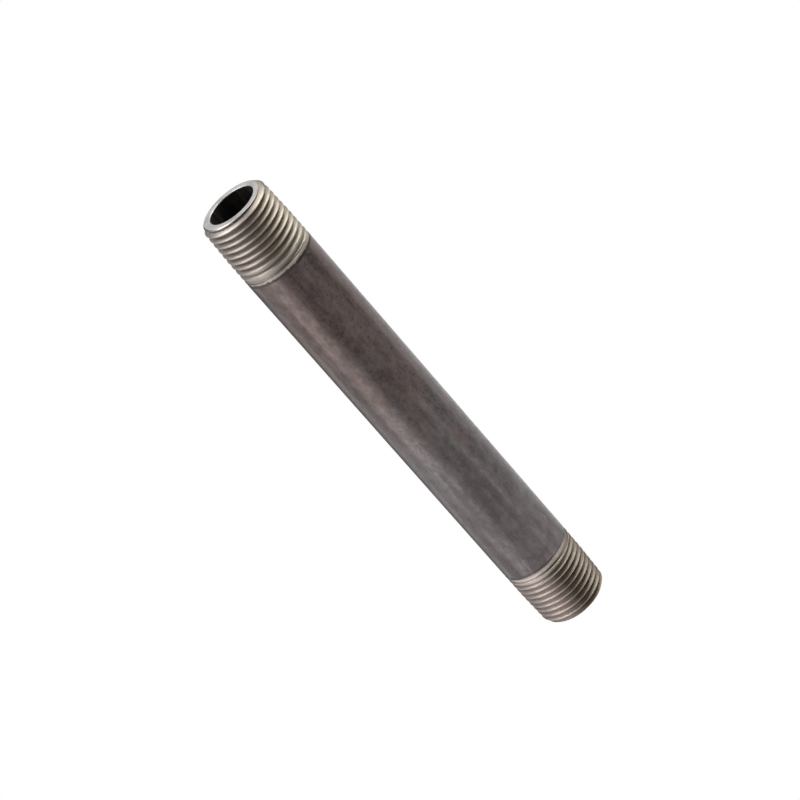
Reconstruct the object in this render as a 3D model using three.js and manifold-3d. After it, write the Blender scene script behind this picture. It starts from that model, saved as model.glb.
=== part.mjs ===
// Threaded pipe nipple: a short length of steel pipe with a tapered pipe thread cut on each end.
//
// Millimetres, +Z up. The nipple stands on its lower end face, with the origin at the centre of
// that face and the bore along Z. Both threads are right-hand.

import * as THREE from 'three';
import { mergeVertices } from 'three/addons/utils/BufferGeometryUtils.js';
import Module from 'manifold-3d';

// ---------------------------------------------------------------- driving dimensions

const inch = 25.4;

const pipeLength = 76.2; // end face to end face
const pipeOuterDiameter = 10.287; // 1/8 in nominal pipe
const pipeWall = 1.727; // schedule 40

const threadPitch = inch / 27; // 27 threads per inch
const threadTaper = 1 / 16; // growth of the thread's diameter per length
const crestFlat = 0.07; // width of the flat along each crest
const rootFlat = 0.07; // width of the flat along each root
const flankAngle = THREE.MathUtils.degToRad(30); // each flank, from a plane square to the axis

const endChamfer = 0.56; // outer edge of each end, both legs
const boreChamfer = 0.1; // inner edge of each end, both legs

// Where each thread's groove crosses its end face, as an angle about +Z.
const threadStartAngle = THREE.MathUtils.degToRad(0);

// Sides of every round surface. A multiple of four keeps the true diameter along X and Y.
const sidesPerTurn = 24;

// ---------------------------------------------------------------- sizes that follow

const pipeRadius = pipeOuterDiameter / 2;
const boreRadius = pipeRadius - pipeWall;
const radialTaper = threadTaper / 2;

// The standard proportions of a tapered pipe thread, from the pipe's diameter and the pitch.
const pitchDiameterAtEnd = pipeOuterDiameter - (0.05 * pipeOuterDiameter / inch + 1.1) * threadPitch;
const fullThreadLength = (0.8 * pipeOuterDiameter / inch + 6.8) * threadPitch;
const runOutLength = 3.47 * threadPitch;

const threadDepth = (threadPitch - crestFlat - rootFlat) / (2 * Math.tan(flankAngle));
const crestRadiusAtEnd = (pitchDiameterAtEnd + threadDepth) / 2;
const rootRadiusAtEnd = (pitchDiameterAtEnd - threadDepth) / 2;

// ---------------------------------------------------------------- profiles

/** Radius of the thread's crests at a distance from the end face. */
function crestRadius(depth) {
  return crestRadiusAtEnd + radialTaper * depth;
}

/** Radius of the thread's roots on the taper, as if it ran on for the pipe's whole length. */
function taperedRootRadius(depth) {
  return rootRadiusAtEnd + radialTaper * depth;
}

/** Radius of the groove's floor: the taper, then the steeper run-out that rises to the pipe's surface. */
function grooveFloorRadius(depth) {
  const runOutStart = taperedRootRadius(fullThreadLength);
  const runOutSlope = (pipeRadius - runOutStart) / runOutLength;
  const runOut = runOutStart + runOutSlope * (depth - fullThreadLength);
  return depth > fullThreadLength ? runOut : taperedRootRadius(depth);
}

/** Outline of half of the pipe's wall, from one end face to the middle, as radius and height. */
function endOutline() {
  const taperEnd = (pipeRadius - crestRadiusAtEnd) / radialTaper;
  const chamferDepth = endChamfer / (1 - radialTaper);
  return [
    new THREE.Vector2(boreRadius, boreChamfer),
    new THREE.Vector2(boreRadius + boreChamfer, 0),
    new THREE.Vector2(crestRadius(chamferDepth) - chamferDepth, 0),
    new THREE.Vector2(crestRadius(chamferDepth), chamferDepth),
    new THREE.Vector2(pipeRadius, taperEnd),
  ];
}

/** The pipe before its threads are cut: bored, tapered and chamfered at both ends. */
function pipeBlankGeometry() {
  const lower = endOutline();
  const upper = endOutline().reverse().map((point) => new THREE.Vector2(point.x, pipeLength - point.y));
  const profile = [...lower, ...upper, lower[0].clone()];
  const blank = new THREE.LatheGeometry(profile, sidesPerTurn);
  return blank.rotateX(Math.PI / 2);
}

// ---------------------------------------------------------------- thread

/** Half of the groove's width at a radius, at a distance from the end face. */
function grooveHalfWidth(radius, depth) {
  return rootFlat / 2 + (radius - taperedRootRadius(depth)) * Math.tan(flankAngle);
}

/**
 * Section of the thread's groove, as [radius, height] pairs in order round it.
 * Its flanks keep their place along the run-out, where only the floor rises. Above the crests the
 * sides run straight out, so that neighbouring turns never meet.
 */
function grooveSection(height) {
  const clearance = 0.02;
  const depth = Math.max(height, 0);
  const outside = pipeRadius + 0.25;
  const floor = grooveFloorRadius(depth);
  const shoulder = Math.min(crestRadius(depth) + clearance, outside - clearance);
  const halfFloor = grooveHalfWidth(floor, depth);
  const halfShoulder = grooveHalfWidth(shoulder, depth);
  return [
    [floor, height - halfFloor],
    [floor, height + halfFloor],
    [shoulder, height + halfShoulder],
    [outside, height + halfShoulder],
    [outside, height - halfShoulder],
    [shoulder, height - halfShoulder],
  ];
}

/** The steel that the die takes out: the groove's section carried up a right-hand helix. */
function threadGrooveGeometry() {
  const startHeight = -threadPitch;
  const endHeight = fullThreadLength + runOutLength + threadPitch / 4;
  const steps = Math.ceil((endHeight - startHeight) / threadPitch * sidesPerTurn);
  const positions = [];
  const indices = [];
  const corners = grooveSection(0).length;

  for (let step = 0; step <= steps; step += 1) {
    const turns = step / sidesPerTurn;
    const angle = threadStartAngle + turns * 2 * Math.PI;
    for (const [radius, height] of grooveSection(startHeight + turns * threadPitch)) {
      positions.push(radius * Math.cos(angle), radius * Math.sin(angle), height);
    }
  }
  for (let step = 0; step < steps; step += 1) {
    for (let corner = 0; corner < corners; corner += 1) {
      const a = step * corners + corner;
      const b = step * corners + (corner + 1) % corners;
      indices.push(a, b, b + corners, a, b + corners, a + corners);
    }
  }
  const last = steps * corners;
  for (let corner = 1; corner < corners - 1; corner += 1) {
    indices.push(0, corner + 1, corner);
    indices.push(last, last + corner, last + corner + 1);
  }

  const groove = new THREE.BufferGeometry();
  groove.setAttribute('position', new THREE.Float32BufferAttribute(positions, 3));
  groove.setIndex(indices);
  return groove;
}

/** The same groove for the upper end: turned end over end, so it is still right-hand. */
function upperThreadGrooveGeometry() {
  return threadGrooveGeometry().rotateX(Math.PI).translate(0, 0, pipeLength);
}

// ---------------------------------------------------------------- solids

const wasm = await Module();
wasm.setup();

/** A closed geometry as a solid that can be cut. */
function toSolid(geometry) {
  const bare = geometry.clone();
  bare.deleteAttribute('normal');
  bare.deleteAttribute('uv');
  const merged = mergeVertices(bare, 1e-5);
  return new wasm.Manifold(new wasm.Mesh({
    numProp: 3,
    vertProperties: new Float32Array(merged.attributes.position.array),
    triVerts: new Uint32Array(merged.index.array),
  }));
}

/** A solid as a geometry that can be shown. */
function toGeometry(solid) {
  const mesh = solid.getMesh();
  const geometry = new THREE.BufferGeometry();
  geometry.setAttribute('position', new THREE.BufferAttribute(mesh.vertProperties, mesh.numProp));
  geometry.setIndex(new THREE.BufferAttribute(mesh.triVerts, 1));
  geometry.computeVertexNormals();
  return geometry;
}

// ---------------------------------------------------------------- materials

/** Black steel pipe: a thin dark mill scale over bright steel. */
function blackSteel() {
  return new THREE.MeshStandardMaterial({ color: 0x5a5452, roughness: 0.55, metalness: 0.8 });
}

// ---------------------------------------------------------------- the part

/** The nipple: one length of pipe with a thread cut on each end. */
function pipeNipple() {
  const solid = toSolid(pipeBlankGeometry())
    .subtract(toSolid(threadGrooveGeometry()))
    .subtract(toSolid(upperThreadGrooveGeometry()));
  const nipple = new THREE.Mesh(toGeometry(solid), blackSteel());
  nipple.name = 'pipe_nipple';
  return nipple;
}

const part = new THREE.Group();
part.add(pipeNipple());

export default part;
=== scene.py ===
import logging
import math
from dataclasses import dataclass, field
from enum import Enum, IntEnum
from typing import Callable, Sequence

import bpy
from mathutils import Matrix, Vector


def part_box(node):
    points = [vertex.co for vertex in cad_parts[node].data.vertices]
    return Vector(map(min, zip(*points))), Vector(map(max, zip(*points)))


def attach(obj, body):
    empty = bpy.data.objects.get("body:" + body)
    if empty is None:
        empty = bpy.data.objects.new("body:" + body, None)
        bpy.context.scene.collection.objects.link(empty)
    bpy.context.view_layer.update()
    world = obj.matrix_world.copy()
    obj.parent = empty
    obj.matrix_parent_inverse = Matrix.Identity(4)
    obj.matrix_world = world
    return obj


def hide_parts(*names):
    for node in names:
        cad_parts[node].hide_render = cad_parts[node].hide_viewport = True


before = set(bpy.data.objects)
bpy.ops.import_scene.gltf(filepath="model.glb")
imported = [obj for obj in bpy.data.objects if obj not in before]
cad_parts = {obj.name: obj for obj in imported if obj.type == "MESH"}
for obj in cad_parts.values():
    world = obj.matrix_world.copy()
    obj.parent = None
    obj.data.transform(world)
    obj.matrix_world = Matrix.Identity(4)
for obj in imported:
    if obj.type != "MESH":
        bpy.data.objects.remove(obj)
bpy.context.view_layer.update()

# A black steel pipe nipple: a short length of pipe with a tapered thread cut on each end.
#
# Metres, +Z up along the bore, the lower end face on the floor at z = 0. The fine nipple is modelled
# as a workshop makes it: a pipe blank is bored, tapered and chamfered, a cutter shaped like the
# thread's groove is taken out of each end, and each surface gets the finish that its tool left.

MM = 0.001
INCH = 25.4 * MM

Colour = tuple[float, float, float]
Place = tuple[float, float, float]

WHITE: Colour = (1.0, 1.0, 1.0)

HEIGHT_ATTRIBUTE = "thread_height"
CUT_ATTRIBUTE = "cut_depth"
WORN_ATTRIBUTE = "worn_scale"

log = logging.getLogger("pipe_nipple")


# ---------------------------------------------------------------- named options


class End(Enum):
    """The two threaded ends of the nipple."""

    LOWER = "lower"
    UPPER = "upper"


class Surface(IntEnum):
    """How a stretch of the nipple's surface was made, and its place in the list of materials."""

    SCALE = 0
    CUT = 1
    FACED = 2
    BORE = 3


# ---------------------------------------------------------------- sizes


@dataclass(frozen=True)
class Pipe:
    """The pipe that the nipple is cut from, in metres."""

    length: float
    radius: float
    bore_radius: float

    @classmethod
    def from_node(cls, node: str, wall: float) -> "Pipe":
        """Reads the pipe's length and radius from the frame.

        Args:
            node: Name of the CAD node.
            wall: Thickness of the pipe's wall.

        Returns:
            The pipe's sizes.
        """
        low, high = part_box(node)
        radius = min(high[0] - low[0], high[1] - low[1]) / 2
        return cls(length=high[2] - low[2], radius=radius, bore_radius=radius - wall)


@dataclass(frozen=True)
class Thread:
    """A tapered pipe thread. Depths are measured along the axis from the end face."""

    pipe: Pipe
    pitch: float = INCH / 27
    taper: float = 1 / 16
    flat: float = 0.07 * MM
    flank_angle: float = math.radians(30)

    @property
    def height(self) -> float:
        """Height of the thread from root to crest."""
        return (self.pitch - 2 * self.flat) / (2 * math.tan(self.flank_angle))

    @property
    def pitch_radius_at_end(self) -> float:
        """Radius half-way up the thread, at the end face."""
        diameter = 2 * self.pipe.radius
        return (diameter - (0.05 * diameter / INCH + 1.1) * self.pitch) / 2

    @property
    def full_length(self) -> float:
        """Depth to which the thread is cut in full."""
        return (0.8 * 2 * self.pipe.radius / INCH + 6.8) * self.pitch

    @property
    def run_out_length(self) -> float:
        """Further depth over which the groove's floor rises to the pipe's surface."""
        return 3.47 * self.pitch

    @property
    def end_depth(self) -> float:
        """Depth at which the groove comes out of the pipe's surface."""
        return self.full_length + self.run_out_length

    def crest_radius(self, depth: float) -> float:
        """Radius of the crests, as if the pipe were thick enough for all of them."""
        return self.pitch_radius_at_end + self.height / 2 + depth * self.taper / 2

    def surface_radius(self, depth: float) -> float:
        """Radius of the blank's surface: the crests' taper, then the pipe itself."""
        return min(self.crest_radius(depth), self.pipe.radius)

    def root_radius(self, depth: float) -> float:
        """Radius of the roots on the taper, as if it ran on for ever."""
        return self.crest_radius(depth) - self.height

    def floor_radius(self, depth: float) -> float:
        """Radius of the groove's floor: the taper, then the steeper run-out.

        Args:
            depth: Depth from the end face.

        Returns:
            The radius.
        """
        start = self.root_radius(self.full_length)
        slope = (self.pipe.radius - start) / self.run_out_length
        return max(self.root_radius(depth), start + slope * (depth - self.full_length))


# ---------------------------------------------------------------- working in Blender


def deselect_all() -> None:
    """Leaves nothing selected, in object mode."""
    if bpy.context.object is not None and bpy.context.object.mode != "OBJECT":
        bpy.ops.object.mode_set(mode="OBJECT")
    bpy.ops.object.select_all(action="DESELECT")


def make_active(piece: bpy.types.Object) -> None:
    """Makes a piece the one selected and active object.

    Args:
        piece: The object to make active.
    """
    deselect_all()
    piece.select_set(True)
    bpy.context.view_layer.objects.active = piece


def clear_selection(piece: bpy.types.Object, kind: str) -> None:
    """Leaves none of a piece's mesh selected, ready for flags to be set in object mode.

    Args:
        piece: The object to work on.
        kind: The mesh select mode to leave it in, VERT, EDGE or FACE.
    """
    make_active(piece)
    bpy.ops.object.mode_set(mode="EDIT")
    bpy.ops.mesh.select_mode(type=kind)
    bpy.ops.mesh.select_all(action="DESELECT")
    bpy.ops.object.mode_set(mode="OBJECT")


def apply_modifier(piece: bpy.types.Object, kind: str, **settings: object) -> None:
    """Adds a modifier, sets it and applies it.

    Args:
        piece: The object to change.
        kind: The modifier's type.
        **settings: The modifier's properties.
    """
    make_active(piece)
    modifier = piece.modifiers.new(kind.lower(), kind)
    for key, value in settings.items():
        setattr(modifier, key, value)
    bpy.ops.object.modifier_apply(modifier=modifier.name)


def remove(piece: bpy.types.Object) -> None:
    """Deletes an object that has done its work."""
    make_active(piece)
    bpy.ops.object.delete()


# ---------------------------------------------------------------- shapes


@dataclass
class PipeBlank:
    """The pipe before threading: bored, with both ends tapered, faced and chamfered."""

    pipe: Pipe
    thread: Thread
    end_chamfer: float = 0.56 * MM
    bore_chamfer: float = 0.1 * MM
    edge_round: float = 0.05 * MM
    ring_gap: float = 0.05 * MM
    round_segments: int = 3
    merge_distance: float = 0.0001 * MM
    sides: int = 144
    barrel_rings: int = 40

    def end_outline(self) -> list[tuple[float, float]]:
        """Outline of one end, from the bore to just past the thread.

        Returns:
            Points as (radius, depth).
        """
        taper_depth = (self.pipe.radius - self.thread.crest_radius(0)) * 2 / self.thread.taper
        chamfer_depth = self.end_chamfer / (1 - self.thread.taper / 2)
        crest = self.thread.crest_radius(chamfer_depth)
        return [
            (self.pipe.bore_radius, self.bore_chamfer),
            (self.pipe.bore_radius + self.bore_chamfer, 0.0),
            (crest - chamfer_depth, 0.0),
            (crest, chamfer_depth),
            (self.pipe.radius, taper_depth),
            (self.pipe.radius, self.thread.end_depth + self.ring_gap),
        ]

    def outline(self) -> list[tuple[float, float]]:
        """The whole closed outline of the wall.

        Returns:
            Points as (radius, height), in order round the outline.
        """
        lower = self.end_outline()
        upper = [(radius, self.pipe.length - depth) for radius, depth in reversed(lower)]
        return lower + upper

    def build(self) -> bpy.types.Object:
        """Draws the wall's outline and spins it round the bore.

        Returns:
            The blank, one closed shell with outward faces.
        """
        outline = self.outline()
        deselect_all()
        bpy.ops.mesh.primitive_circle_add(vertices=len(outline), radius=self.pipe.radius)
        blank = bpy.context.object
        blank.name = "pipe_nipple_steel"
        for vertex, (radius, height) in zip(blank.data.vertices, outline):
            vertex.co = (radius, 0.0, height)
        self.round_corners(blank)
        self.add_rings(blank)
        bpy.ops.object.mode_set(mode="EDIT")
        bpy.ops.mesh.select_all(action="SELECT")
        bpy.ops.mesh.spin(steps=self.sides, angle=math.tau, center=(0, 0, 0), axis=(0, 0, 1))
        bpy.ops.mesh.select_all(action="SELECT")
        bpy.ops.mesh.remove_doubles(threshold=self.merge_distance)
        bpy.ops.mesh.normals_make_consistent(inside=False)
        bpy.ops.object.mode_set(mode="OBJECT")
        return blank

    def round_corners(self, blank: bpy.types.Object) -> None:
        """Breaks the sharp corners of the two ends' outlines.

        Args:
            blank: The flat outline, before it is spun.
        """
        clear_selection(blank, "VERT")
        near_an_end = self.pipe.length / 40
        for vertex in blank.data.vertices:
            depth = min(vertex.co.z, self.pipe.length - vertex.co.z)
            vertex.select = depth < near_an_end
        bpy.ops.object.mode_set(mode="EDIT")
        bpy.ops.mesh.bevel(offset=self.edge_round, segments=self.round_segments, affect="VERTICES")
        bpy.ops.object.mode_set(mode="OBJECT")

    def add_rings(self, blank: bpy.types.Object) -> None:
        """Divides the long runs of the outline, so that the barrel and the bore have rings.

        Args:
            blank: The flat outline, before it is spun.
        """
        clear_selection(blank, "EDGE")
        mesh = blank.data
        for edge in mesh.edges:
            start, end = (mesh.vertices[index].co for index in edge.vertices)
            edge.select = (start - end).length > self.pipe.length / 2
        bpy.ops.object.mode_set(mode="EDIT")
        bpy.ops.mesh.subdivide(number_cuts=self.barrel_rings)
        bpy.ops.object.mode_set(mode="OBJECT")


@dataclass
class GrooveCutter:
    """The steel that a threading die takes out, as a solid: the groove's section up a helix."""

    thread: Thread
    sides: int = 144
    root_fillet: float = 0.018 * MM
    crest_round: float = 0.018 * MM
    skin_gap: float = 0.004 * MM
    reach: float = 0.25 * MM
    settling_steps: int = 4

    @property
    def turns(self) -> int:
        """Whole turns of the cutter, from one turn outside the end face to past the run-out."""
        return math.ceil((self.thread.end_depth + self.thread.pitch) / self.thread.pitch)

    def half_section(self, depth: float, side: int) -> list[tuple[float, float]]:
        """One side of the groove's section, from its floor out past the pipe's surface.

        Args:
            depth: Depth of the groove's middle from the end face.
            side: 1 for the side away from the end face, -1 for the side towards it.

        Returns:
            Points as (radius, depth).
        """
        thread = self.thread
        slant = math.tan(thread.flank_angle)

        def half_width(radius: float) -> float:
            """Half the groove's width at a radius."""
            return thread.flat / 2 + (radius - thread.root_radius(depth)) * slant

        def settle(radius_at: Callable[[float], float], radius: float) -> float:
            """Finds where the groove's side meets a surface.

            Args:
                radius_at: Gives the surface's radius at a depth.
                radius: A first guess at the radius.

            Returns:
                The radius where they meet.
            """
            for _ in range(self.settling_steps):
                radius = radius_at(depth + side * half_width(radius))
            return radius

        floor = settle(thread.floor_radius, thread.floor_radius(depth))
        lip = settle(thread.surface_radius, thread.surface_radius(depth))
        lip = max(lip, floor + 2 * self.crest_round)
        along = Vector((math.cos(thread.flank_angle), math.sin(thread.flank_angle)))
        foot = Vector((floor, half_width(floor)))
        top = Vector((lip, half_width(lip)))
        points = [
            *bend(foot - Vector((0, self.root_fillet)), foot, foot + along * self.root_fillet),
            *bend(top - along * self.crest_round, top, top + Vector((self.skin_gap, self.crest_round))),
            Vector((thread.pipe.radius + self.reach, top.y + self.crest_round)),
        ]
        return [(point.x, depth + side * point.y) for point in points]

    def section(self, depth: float) -> list[tuple[float, float]]:
        """The groove's whole section.

        Args:
            depth: Depth of the groove's middle from the end face.

        Returns:
            Points as (radius, depth), in order round the section.
        """
        near = self.half_section(depth, -1)
        far = self.half_section(depth, 1)
        return near[::-1] + far

    def build(self, end: End) -> bpy.types.Object:
        """Sweeps the section up a right-hand helix, then lets it follow the taper and run out.

        Args:
            end: Which end of the nipple the cutter is for.

        Returns:
            The cutter, one closed shell with outward faces.
        """
        corners = len(self.section(0.0))
        deselect_all()
        bpy.ops.mesh.primitive_circle_add(vertices=corners, radius=self.thread.pitch)
        cutter = bpy.context.object
        cutter.name = f"groove_cutter_{end.value}"
        for vertex, (radius, depth) in zip(cutter.data.vertices, self.section(0.0)):
            vertex.co = (radius, 0.0, depth)
        apply_modifier(
            cutter, "SCREW", angle=math.tau, screw_offset=self.thread.pitch, iterations=self.turns,
            steps=self.sides, render_steps=self.sides, use_merge_vertices=False,
        )
        self.follow_taper(cutter, corners)
        self.cap(cutter)
        if end is End.UPPER:
            self.turn_over(cutter)
        return cutter

    def follow_taper(self, cutter: bpy.types.Object, corners: int) -> None:
        """Moves every copy of the section to the shape that it has at its own depth.

        Args:
            cutter: The swept helix, a copy of the section after another.
            corners: Points in a section.
        """
        vertices = cutter.data.vertices
        for step in range(len(vertices) // corners):
            angle = math.tau * step / self.sides
            middle = (step / self.sides - 1) * self.thread.pitch
            for corner, (radius, depth) in enumerate(self.section(max(middle, 0.0))):
                place = (radius * math.cos(angle), radius * math.sin(angle), depth + min(middle, 0.0))
                vertices[step * corners + corner].co = place

    def cap(self, cutter: bpy.types.Object) -> None:
        """Closes the helix's two ends and turns its faces outwards.

        Args:
            cutter: The swept helix.
        """
        make_active(cutter)
        bpy.ops.object.mode_set(mode="EDIT")
        bpy.ops.mesh.select_mode(type="EDGE")
        bpy.ops.mesh.select_all(action="SELECT")
        bpy.ops.mesh.fill_holes(sides=0)
        bpy.ops.mesh.select_all(action="SELECT")
        bpy.ops.mesh.normals_make_consistent(inside=False)
        bpy.ops.object.mode_set(mode="OBJECT")

    def turn_over(self, cutter: bpy.types.Object) -> None:
        """Turns the cutter end over end to the nipple's upper end, so it stays right-hand.

        Args:
            cutter: The closed cutter.
        """
        make_active(cutter)
        bpy.ops.transform.rotate(value=math.pi, orient_axis="X", center_override=(0, 0, 0))
        bpy.ops.transform.translate(value=(0, 0, self.thread.pipe.length))
        bpy.ops.object.transform_apply(location=True, rotation=True, scale=True)


def bend(start: Vector, corner: Vector, end: Vector) -> list[Vector]:
    """A corner as a short curve: its start, middle and end."""
    return [start, (start + 2 * corner + end) / 4, end]


# ---------------------------------------------------------------- node graphs


class Graph:
    """A node tree, with a short call for each kind of node that the finishes use."""

    def __init__(self, tree: bpy.types.NodeTree) -> None:
        """Takes over a node tree and empties it."""
        self.tree = tree
        self.tree.nodes.clear()

    def node(self, kind: str, inputs: dict | None = None, **settings: object) -> bpy.types.Node:
        """Adds a node.

        Args:
            kind: The node's type name, without its ShaderNode prefix.
            inputs: Value or socket for each input, by name or index.
            **settings: The node's own properties.

        Returns:
            The node.
        """
        node = self.tree.nodes.new(f"ShaderNode{kind}")
        for key, value in settings.items():
            setattr(node, key, value)
        for key, value in (inputs or {}).items():
            if isinstance(value, bpy.types.NodeSocket):
                self.tree.links.new(value, node.inputs[key])
            else:
                node.inputs[key].default_value = value
        return node

    def place(self, stretch: Sequence[float] = (1, 1, 1)) -> bpy.types.NodeSocket:
        """The piece's own coordinates, in metres, stretched along each axis."""
        coordinates = self.node("TexCoord").outputs["Object"]
        return self.node("Mapping", {"Vector": coordinates, "Scale": stretch}).outputs["Vector"]

    def axis(self, name: str, low: float, high: float) -> bpy.types.NodeSocket:
        """How far along one of the piece's axes a point is: 0 at low, 1 at high.

        Args:
            name: X, Y or Z.
            low: Where the result starts to rise, in metres.
            high: Where it stops.

        Returns:
            The number's socket.
        """
        parts = self.node("SeparateXYZ", {"Vector": self.node("TexCoord").outputs["Object"]})
        return self.ramp(parts.outputs[name], low, high)

    def attribute(self, name: str) -> bpy.types.NodeSocket:
        """A number that the mesh stores at each vertex."""
        return self.node("Attribute", attribute_name=name).outputs["Fac"]

    def noise(self, vector: bpy.types.NodeSocket, scale: float, detail: float = 2.0,
              roughness: float = 0.5) -> bpy.types.NodeSocket:
        """Fractal noise, about 0 to 1."""
        settings = {"Vector": vector, "Scale": scale, "Detail": detail, "Roughness": roughness}
        return self.node("TexNoise", settings).outputs["Fac"]

    def ramp(self, factor: bpy.types.NodeSocket, low: float, high: float, to_low: float = 0.0,
             to_high: float = 1.0) -> bpy.types.NodeSocket:
        """A number moved from one range to another, smoothly and within it."""
        inputs = {"Value": factor, "From Min": low, "From Max": high, "To Min": to_low, "To Max": to_high}
        return self.node("MapRange", inputs, interpolation_type="SMOOTHSTEP").outputs["Result"]

    def math(self, operation: str, first: object, second: object = 0.0) -> bpy.types.NodeSocket:
        """One sum on two numbers."""
        return self.node("Math", {0: first, 1: second}, operation=operation).outputs[0]

    def mix(self, factor: object, first: object, second: object,
            blend: str = "MIX") -> bpy.types.NodeSocket:
        """Two colours mixed.

        Args:
            factor: Share of the second colour, a number or a socket.
            first: The first colour, or its socket.
            second: The second colour, or its socket.
            blend: How the second is laid over the first.

        Returns:
            The mixed colour's socket.
        """
        node = self.node("Mix", {"Factor": factor}, data_type="RGBA", blend_type=blend)
        for name, value in (("A", first), ("B", second)):
            socket = next(each for each in node.inputs if each.name == name and each.type == "RGBA")
            if isinstance(value, bpy.types.NodeSocket):
                self.tree.links.new(value, socket)
            else:
                socket.default_value = (*value, 1.0)
        return next(each for each in node.outputs if each.type == "RGBA")

    def bump(self, height: bpy.types.NodeSocket, distance: float, strength: float = 1.0,
             normal: bpy.types.NodeSocket | None = None) -> bpy.types.NodeSocket:
        """A surface's small relief.

        Args:
            height: The relief's height, in units of distance.
            distance: How far a height of 1 stands out, in metres.
            strength: Share of the relief that is used.
            normal: A relief to add this one to.

        Returns:
            The normal's socket.
        """
        inputs = {"Height": height, "Distance": distance, "Strength": strength}
        if normal is not None:
            inputs["Normal"] = normal
        return self.node("Bump", inputs).outputs["Normal"]

    def surface(self, inputs: dict) -> None:
        """Ends the tree in one principled shader."""
        shader = self.node("BsdfPrincipled", inputs)
        self.node("OutputMaterial", {"Surface": shader.outputs["BSDF"]})


# ---------------------------------------------------------------- finishes


def start_material(name: str) -> tuple[bpy.types.Material, Graph]:
    """Makes an empty material.

    Args:
        name: The material's name.

    Returns:
        The material, and the graph of its nodes.
    """
    material = bpy.data.materials.new(name)
    material.use_nodes = True
    return material, Graph(material.node_tree)


@dataclass(frozen=True)
class MillScale:
    """The dark oxide skin of hot-rolled pipe: brown-grey, streaked along the pipe and mottled."""

    length: float
    name: str = "mill_scale"
    dark: Colour = (0.075, 0.057, 0.055)
    pale: Colour = (0.165, 0.138, 0.136)
    warm: Colour = (1.0, 0.90, 0.85)
    cool: Colour = (0.93, 0.975, 1.005)
    worn: Colour = (0.46, 0.41, 0.37)
    metallic: float = 0.55
    roughness: float = 0.34
    streaks_per_metre: float = 900.0
    speckles_per_metre: float = 2600.0
    patches_per_metre: float = 330.0
    relief: float = 0.012 * MM
    blotch_place: Place = (1.6 * MM, -4.9 * MM, 45.0 * MM)
    blotch_radius: float = 1.7 * MM
    blotch_line: float = 0.45 * MM
    blotch_waver: float = 0.8 * MM
    blotch_wavers_per_metre: float = 500.0

    def material(self) -> bpy.types.Material:
        """Makes the material.

        Returns:
            The material.
        """
        material, graph = start_material(self.name)
        streaks = graph.noise(graph.place((1, 1, 0.06)), self.streaks_per_metre, 4, 0.6)
        clouds = graph.noise(graph.place((1, 1, 0.4)), self.streaks_per_metre / 6, 3, 0.55)
        speckle = graph.noise(graph.place(), self.speckles_per_metre, 3, 0.7)
        mottle = graph.noise(graph.place((1, 1, 0.7)), self.streaks_per_metre, 5, 0.7)
        tone = graph.math("ADD", graph.math("MULTIPLY", streaks, 0.3), graph.math("MULTIPLY", clouds, 0.3))
        tone = graph.math("ADD", tone, graph.math("MULTIPLY", mottle, 0.4))
        colour = graph.mix(graph.ramp(tone, 0.40, 0.60), self.dark, self.pale)
        colour = graph.mix(graph.ramp(speckle, 0.42, 0.62, 0.0, 0.35), colour, self.pale)
        colour = graph.mix(1.0, colour, self.lengthwise_tint(graph), "MULTIPLY")
        colour = graph.mix(self.blotch(graph), colour, self.dark)
        colour = graph.mix(graph.attribute(WORN_ATTRIBUTE), colour, self.worn)
        rough = graph.ramp(speckle, 0.3, 0.7, self.roughness - 0.08, self.roughness + 0.12)
        relief = graph.bump(speckle, self.relief, 0.3)
        relief = graph.bump(mottle, self.relief, 0.5, relief)
        graph.surface({
            "Base Color": colour, "Metallic": self.metallic, "Roughness": rough, "Normal": relief,
        })
        return material

    def lengthwise_tint(self, graph: Graph) -> bpy.types.NodeSocket:
        """A tint, browner and a little darker in patches and towards the upper end.

        Args:
            graph: The tree to add to.

        Returns:
            The tint's socket.
        """
        patches = graph.noise(graph.place((1, 1, 0.5)), self.patches_per_metre, 4, 0.7)
        rise = graph.axis("Z", 0.3 * self.length, 0.8 * self.length)
        warmth = graph.math("ADD", rise, graph.math("MULTIPLY", graph.math("SUBTRACT", patches, 0.5), 3.0))
        return graph.mix(graph.ramp(warmth, 0.0, 1.0), self.cool, self.warm)

    def blotch(self, graph: Graph) -> bpy.types.NodeSocket:
        """A faint ring where a drop dried on the barrel.

        Args:
            graph: The tree to add to.

        Returns:
            The ring's strength, as a socket.
        """
        place = graph.node("TexCoord").outputs["Object"]
        distance = graph.node("VectorMath", {0: place, 1: self.blotch_place}, operation="DISTANCE")
        waver = graph.noise(graph.place(), self.blotch_wavers_per_metre, 2)
        waver = graph.math("MULTIPLY", waver, self.blotch_waver)
        gap = graph.math("SUBTRACT", graph.math("ADD", distance.outputs["Value"], waver), self.blotch_radius)
        return graph.ramp(graph.math("ABSOLUTE", gap), 0.0, self.blotch_line, 0.5, 0.0)


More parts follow.
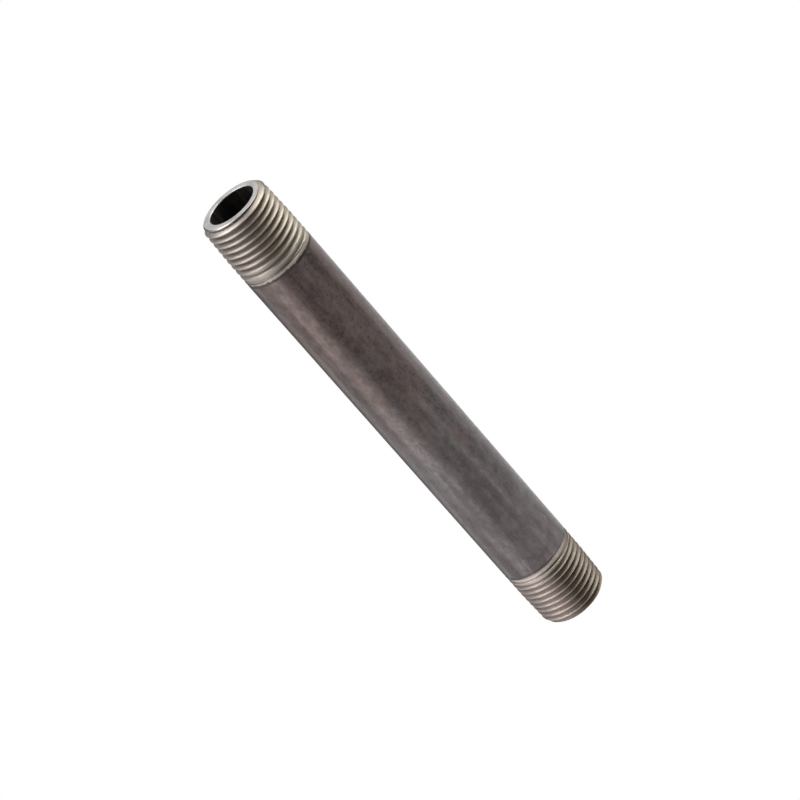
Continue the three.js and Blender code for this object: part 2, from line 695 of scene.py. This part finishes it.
@dataclass(frozen=True)
class CutSteel:
    """Bare steel left by the threading die: crests lighter as a painted highlight, roots darker from oil and
    painted shade, and fine tool marks.
    """

    length: float
    name: str = "cut_steel"
    # crest is lighter as a painted highlight; root is darker, partly from oil and partly as painted shade
    crest: Colour = (0.56, 0.502, 0.462)
    flank: Colour = (0.48, 0.428, 0.39)
    root: Colour = (0.45, 0.398, 0.36)
    # The olive tint goes on the +X side. The pale colour after it is a painted highlight on the -X side, and
    # shade is painted shade on the +X side, both towards the lower end.
    olive: Colour = (1.0, 1.0, 0.90)
    painted_highlight: Colour = (0.60, 0.525, 0.495)
    shade: Colour = (0.66, 0.63, 0.62)
    scale: Colour = (0.070, 0.055, 0.053)
    metallic: float = 1.0
    roughness: float = 0.45
    radius: float = 5.1 * MM
    skim: float = 0.10 * MM
    marks_per_metre: float = 9000.0
    grime_per_metre: float = 700.0
    sway_patches_per_metre: float = 260.0
    rags_per_metre: float = 1500.0
    relief: float = 0.006 * MM

    def material(self) -> bpy.types.Material:
        """Makes the material. It reads how far up the thread each point is and how deep it was cut.

        Returns:
            The material.
        """
        material, graph = start_material(self.name)
        height = graph.attribute(HEIGHT_ATTRIBUTE)
        grime = graph.noise(graph.place((1, 1, 2.5)), self.grime_per_metre, 4, 0.65)
        height = graph.math("ADD", height, graph.math("MULTIPLY", graph.math("SUBTRACT", grime, 0.5), 0.5))
        # Roots darker, partly from oil and partly as painted shade; crests lighter as a painted highlight.
        colour = graph.mix(graph.ramp(height, 0.02, 0.45), self.root, self.flank)
        colour = graph.mix(graph.ramp(height, 0.55, 0.95), colour, self.crest)
        colour = self.olive_tint_and_painted_light(graph, colour)
        colour = graph.mix(self.scale_left(graph), colour, self.scale)
        marks = graph.noise(graph.place((0.05, 0.05, 1)), self.marks_per_metre, 3, 0.6)
        rough = graph.ramp(height, 0.1, 0.8, self.roughness + 0.15, self.roughness)
        graph.surface({
            "Base Color": colour, "Metallic": self.metallic, "Roughness": rough,
            "Normal": graph.bump(marks, self.relief, 0.8),
        })
        return material

    def olive_tint_and_painted_light(self, graph: Graph, colour: bpy.types.NodeSocket) -> bpy.types.NodeSocket:
        """Adds an olive tint on the +X side, and towards the lower end painted shade on the +X side and a
        pale painted highlight on the -X side.

        Args:
            graph: The tree to add to.
            colour: The clean steel's colour.

        Returns:
            The colour with the olive tint, the painted shade and the painted highlight.
        """
        patches = graph.noise(graph.place(), self.sway_patches_per_metre, 3)
        sway = graph.math("MULTIPLY", graph.math("SUBTRACT", patches, 0.5), 0.9)
        right = graph.math("ADD", graph.axis("X", -0.3 * self.radius, 0.6 * self.radius), sway)
        left = graph.math("ADD", graph.axis("X", 0.1 * self.radius, -0.6 * self.radius), sway)
        low = graph.axis("Z", 0.6 * self.length, 0.4 * self.length)
        olive = graph.ramp(right, 0.0, 1.0)
        colour = graph.mix(olive, colour, graph.mix(1.0, colour, self.olive, "MULTIPLY"))
        # Painted shade: the +X side darkened towards the lower end.
        dull = graph.math("MULTIPLY", graph.ramp(right, 0.0, 0.6), low)
        colour = graph.mix(dull, colour, graph.mix(1.0, colour, self.shade, "MULTIPLY"))
        # Painted highlight: a pale patch on the -X side towards the lower end.
        painted_highlight = graph.math("MULTIPLY", graph.ramp(left, 0.1, 0.9, 0.0, 0.9), low)
        return graph.mix(painted_highlight, colour, self.painted_highlight)

    def scale_left(self, graph: Graph) -> bpy.types.NodeSocket:
        """Where the last groove barely skims the pipe, so that ragged mill scale is left in it.

        Args:
            graph: The tree to add to.

        Returns:
            The share of scale that is left, as a socket.
        """
        ragged = graph.noise(graph.place(), self.rags_per_metre, 3, 0.6)
        ragged = graph.math("MULTIPLY", graph.math("SUBTRACT", ragged, 0.5), self.skim)
        depth = graph.math("ADD", graph.attribute(CUT_ATTRIBUTE), ragged)
        return graph.ramp(depth, 0.6 * self.skim, self.skim, 0.9, 0.0)


@dataclass(frozen=True)
class FacedSteel:
    """The cut-off end and its chamfers: pale bare steel with rings left by the parting tool."""

    name: str = "faced_steel"
    bright: Colour = (0.60, 0.585, 0.565)
    dull: Colour = (0.47, 0.45, 0.43)
    metallic: float = 1.0
    roughness: float = 0.40
    rings_per_metre: float = 14000.0
    wavers_per_metre: float = 500.0
    relief: float = 0.006 * MM

    def material(self) -> bpy.types.Material:
        """Makes the material.

        Returns:
            The material.
        """
        material, graph = start_material(self.name)
        flat = graph.place((1, 1, 0))
        radius = graph.node("VectorMath", {0: flat}, operation="LENGTH").outputs["Value"]
        waver = graph.noise(graph.place(), self.wavers_per_metre, 3)
        turning = graph.math("ADD", graph.math("MULTIPLY", radius, self.rings_per_metre), waver)
        rings = graph.node("CombineXYZ", {"X": turning}).outputs["Vector"]
        rings = graph.noise(rings, 1.0, 3, 0.6)
        colour = graph.mix(graph.ramp(waver, 0.35, 0.65), self.dull, self.bright)
        rough = graph.ramp(rings, 0.3, 0.7, self.roughness - 0.08, self.roughness + 0.1)
        graph.surface({
            "Base Color": colour, "Metallic": self.metallic, "Roughness": rough,
            "Normal": graph.bump(rings, self.relief, 0.7),
        })
        return material


@dataclass(frozen=True)
class BoreScaleAndShade:
    """The inside of the pipe: scale rougher than the outside, streaked along the bore, and near-black, partly
    its own colour and partly painted shade.
    """

    name: str = "bore_scale_painted_shade"
    # Both colours are darker than the outer scale's, as painted shade in the bore.
    dark: Colour = (0.020, 0.017, 0.016)
    pale: Colour = (0.085, 0.072, 0.066)
    metallic: float = 0.2
    roughness: float = 0.62
    streaks_per_metre: float = 1300.0
    relief: float = 0.03 * MM

    def material(self) -> bpy.types.Material:
        """Makes the material.

        Returns:
            The material.
        """
        material, graph = start_material(self.name)
        streaks = graph.noise(graph.place((1, 1, 0.08)), self.streaks_per_metre, 4, 0.6)
        colour = graph.mix(graph.ramp(streaks, 0.4, 0.65), self.dark, self.pale)
        rough = graph.ramp(streaks, 0.3, 0.7, self.roughness - 0.1, self.roughness + 0.1)
        graph.surface({
            "Base Color": colour, "Metallic": self.metallic, "Roughness": rough,
            "Normal": graph.bump(streaks, self.relief, 0.7),
        })
        return material


# ---------------------------------------------------------------- the nipple


@dataclass
class PipeNipple:
    """The whole nipple: one piece of steel, threaded at both ends."""

    node: str = "pipe_nipple"
    wall: float = 1.727 * MM
    smooth_angle: float = math.radians(32)
    shallowest_thread: float = 0.05 * MM
    run_out_height: float = 0.45
    skimmed_turns: float = 1.2
    unworn_turns: float = 0.1
    worn_turns: float = 1.0
    faced_depth: float = 0.02 * MM
    chamfer_slack: float = 0.03 * MM
    skin_slack: float = 0.001 * MM
    bore_wall_slope: float = 0.3
    pipe: Pipe = field(init=False)
    thread: Thread = field(init=False)
    blank: PipeBlank = field(init=False)

    def __post_init__(self) -> None:
        """Works the sizes out from the frame."""
        self.pipe = Pipe.from_node(self.node, self.wall)
        self.thread = Thread(self.pipe)
        self.blank = PipeBlank(self.pipe, self.thread)

    def build(self) -> bpy.types.Object:
        """Makes the fine nipple and puts it in the frame.

        Returns:
            The finished piece, which stands for the CAD node.
        """
        nipple = self.blank.build()
        for end in End:
            cutter = GrooveCutter(self.thread).build(end)
            apply_modifier(nipple, "BOOLEAN", operation="DIFFERENCE", solver="MANIFOLD", object=cutter)
            remove(cutter)
        self.measure_cut(nipple)
        self.dress(nipple)
        make_active(nipple)
        bpy.ops.object.shade_smooth_by_angle(angle=self.smooth_angle)
        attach(nipple, "root")
        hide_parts(self.node)
        log.info("%s: %d faces", nipple.name, len(nipple.data.polygons))
        return nipple

    def depth(self, height: float) -> float:
        """Depth of a point from the nearer end face."""
        return min(height, self.pipe.length - height)

    def measure_cut(self, nipple: bpy.types.Object) -> None:
        """Stores three numbers at each vertex for the finishes to read.

        The first is how far up the thread it is, 0 at a root and 1 at a crest. The second is how deep
        the last turn was cut there, with everything before that turn counted as deep. The third is how
        far the die has rubbed the scale off the pipe's skin between the grooves.

        Args:
            nipple: The threaded piece.
        """
        names = (HEIGHT_ATTRIBUTE, CUT_ATTRIBUTE, WORN_ATTRIBUTE)
        layers = [nipple.data.attributes.new(name, "FLOAT", "POINT") for name in names]
        for vertex, height, cut, worn in zip(nipple.data.vertices, *(layer.data for layer in layers)):
            depth = self.depth(vertex.co.z)
            radius = math.hypot(vertex.co.x, vertex.co.y)
            floor = self.thread.floor_radius(depth)
            surface = self.thread.surface_radius(depth)
            share = (radius - floor) / max(surface - floor, self.shallowest_thread)
            run_out = (depth - self.thread.full_length) / self.thread.run_out_length
            turns_left = (self.thread.end_depth - depth) / self.thread.pitch
            skimmed = turns_left < self.skimmed_turns
            worn_share = (turns_left - self.unworn_turns) / (self.worn_turns - self.unworn_turns)
            height.value = max(0.0, self.run_out_height * run_out, min(1.0, share))
            cut.value = self.pipe.radius - radius if skimmed else self.pipe.radius
            worn.value = min(1.0, max(0.0, worn_share))

    def surface_at(self, centre: Vector, normal: Vector) -> Surface:
        """Tells which tool or mill made a face.

        Args:
            centre: The face's middle.
            normal: The face's outward normal.

        Returns:
            The kind of surface.
        """
        radius = math.hypot(centre.x, centre.y)
        depth = self.depth(centre.z)
        face_edge = self.blank.end_outline()[2][0]
        chord_sag = self.pipe.radius * (1 - math.cos(math.pi / self.blank.sides))
        if radius < (self.pipe.bore_radius + self.thread.root_radius(0)) / 2:
            return Surface.BORE if abs(normal.z) < self.bore_wall_slope else Surface.FACED
        off_chamfer = abs(radius - face_edge - depth)
        on_chamfer = depth < self.blank.end_chamfer and off_chamfer < self.chamfer_slack
        if depth < self.faced_depth or on_chamfer:
            return Surface.FACED
        if radius > self.pipe.radius - chord_sag - self.skin_slack:
            return Surface.SCALE
        return Surface.CUT

    def dress(self, nipple: bpy.types.Object) -> None:
        """Gives each face the finish of the tool that made it.

        Args:
            nipple: The threaded piece, with its numbers stored.
        """
        finishes = {
            Surface.SCALE: MillScale(self.pipe.length),
            Surface.CUT: CutSteel(self.pipe.length),
            Surface.FACED: FacedSteel(),
            Surface.BORE: BoreScaleAndShade(),
        }
        nipple.data.materials.clear()
        for surface in Surface:
            nipple.data.materials.append(finishes[surface].material())
        for face in nipple.data.polygons:
            face.material_index = self.surface_at(face.center, face.normal)


# ---------------------------------------------------------------- the studio


@dataclass(frozen=True)
class SoftBox:
    """A rectangular area light that faces the nipple, as bright all over as its radiance says."""

    name: str
    azimuth: float
    elevation: float
    distance: float
    width: float
    height: float
    radiance: float

    def build(self, target: Vector) -> bpy.types.Object:
        """Places the light on a sphere round a point and turns it to that point.

        Args:
            target: The point that the light faces.

        Returns:
            The light. Azimuth 0 is in front, at -Y, and 90 is at +X.
        """
        turn = math.radians(self.azimuth)
        rise = math.radians(self.elevation)
        outwards = Vector((math.sin(turn) * math.cos(rise), -math.cos(turn) * math.cos(rise), math.sin(rise)))
        data = bpy.data.lights.new(self.name, "AREA")
        data.shape = "RECTANGLE"
        data.size = self.width
        data.size_y = self.height
        data.energy = self.radiance * math.pi * self.width * self.height
        light = bpy.data.objects.new(self.name, data)
        light.location = target + outwards * self.distance
        light.rotation_euler = outwards.to_track_quat("Z", "Y").to_euler()
        bpy.context.scene.collection.objects.link(light)
        return light


@dataclass
class Studio:
    """A light table: a pale floor that light passes through, and soft boxes round the nipple."""

    target: Vector
    floor_size: float = 6.0
    floor_gap: float = 0.05 * MM
    fill: float = 0.10
    boxes: tuple[SoftBox, ...] = (
        SoftBox("left_wall", -105, -35, distance=0.5, width=0.6, height=0.6, radiance=1.0),
        SoftBox("left_edge", -60, -20, distance=0.5, width=0.3, height=0.3, radiance=2.4),
        SoftBox("low_front", 0, -43, distance=0.26, width=0.44, height=0.15, radiance=1.3),
        SoftBox("low_right", 75, -48, distance=0.5, width=0.5, height=0.3, radiance=2.2),
        SoftBox("right_wall", 135, -20, distance=0.5, width=0.6, height=0.3, radiance=1.1),
        SoftBox("left_high", -120, 62, distance=0.5, width=0.4, height=0.3, radiance=3.4),
        SoftBox("right_high", 120, 54, distance=0.5, width=0.45, height=0.36, radiance=2.9),
        SoftBox("back", 180, 28, distance=0.5, width=0.4, height=0.35, radiance=0.7),
    )

    def build(self) -> None:
        """Makes the floor, the lights and the world."""
        self.floor()
        for box in self.boxes:
            box.build(self.target)
        self.world()
        bpy.context.scene.view_settings.view_transform = "Standard"
        log.info("studio: %d lights", len(self.boxes))

    def floor(self) -> None:
        """Makes the floor: evenly lit from below, so it is pale all over and holds no shadow."""
        deselect_all()
        bpy.ops.mesh.primitive_plane_add(size=self.floor_size, location=(0, 0, -self.floor_gap))
        floor = bpy.context.object
        floor.name = "floor"
        floor.visible_glossy = False
        floor.visible_diffuse = False
        floor.visible_shadow = False
        material, graph = start_material("light_table")
        glow = graph.node("Emission", {"Color": (*WHITE, 1.0), "Strength": 1.0})
        graph.node("OutputMaterial", {"Surface": glow.outputs["Emission"]})
        floor.data.materials.append(material)

    def world(self) -> None:
        """Makes the surroundings: white to look at, and a dim even fill on the steel."""
        world = bpy.data.worlds.new("studio")
        bpy.context.scene.world = world
        world.use_nodes = True
        graph = Graph(world.node_tree)
        fill = graph.node("Background", {"Color": (*WHITE, 1.0), "Strength": self.fill})
        white = graph.node("Background", {"Color": (*WHITE, 1.0), "Strength": 1.0})
        seen = graph.node("LightPath").outputs["Is Camera Ray"]
        both = graph.node("MixShader", {0: seen, 1: fill.outputs[0], 2: white.outputs[0]})
        graph.node("OutputWorld", {"Surface": both.outputs[0]})


@dataclass(frozen=True)
class Viewpoint:
    """A camera that looks down at the nipple, rolled so that the nipple leans to the left."""

    elevation: float = math.radians(26.2)
    roll: float = math.radians(41.2)
    distance: float = 454.0 * MM
    lens: float = 155.8
    aim_right: float = -1.2 * MM
    aim_up: float = 1.1 * MM
    clip_start: float = 0.01

    def build(self, target: Vector) -> bpy.types.Object:
        """Makes the scene's camera.

        Args:
            target: The middle of the nipple.

        Returns:
            The camera.
        """
        data = bpy.data.cameras.new("camera")
        data.lens = self.lens
        data.clip_start = self.clip_start
        camera = bpy.data.objects.new("camera", data)
        level = Matrix.Rotation(math.pi / 2 - self.elevation, 4, "X")
        turned = level @ Matrix.Rotation(-self.roll, 4, "Z")
        camera.matrix_world = Matrix.Translation(target) @ turned @ Matrix.Translation(
            (self.aim_right, self.aim_up, self.distance))
        bpy.context.scene.collection.objects.link(camera)
        bpy.context.scene.camera = camera
        return camera


# ---------------------------------------------------------------- the scene


def main() -> None:
    """Builds the nipple, the studio and the camera."""
    logging.basicConfig(level=logging.INFO, format="%(name)s: %(message)s")
    nipple = PipeNipple()
    middle = Vector((0.0, 0.0, nipple.pipe.length / 2))
    nipple.build()
    Studio(middle).build()
    Viewpoint().build(middle)


if __name__ == "__main__":
    main()
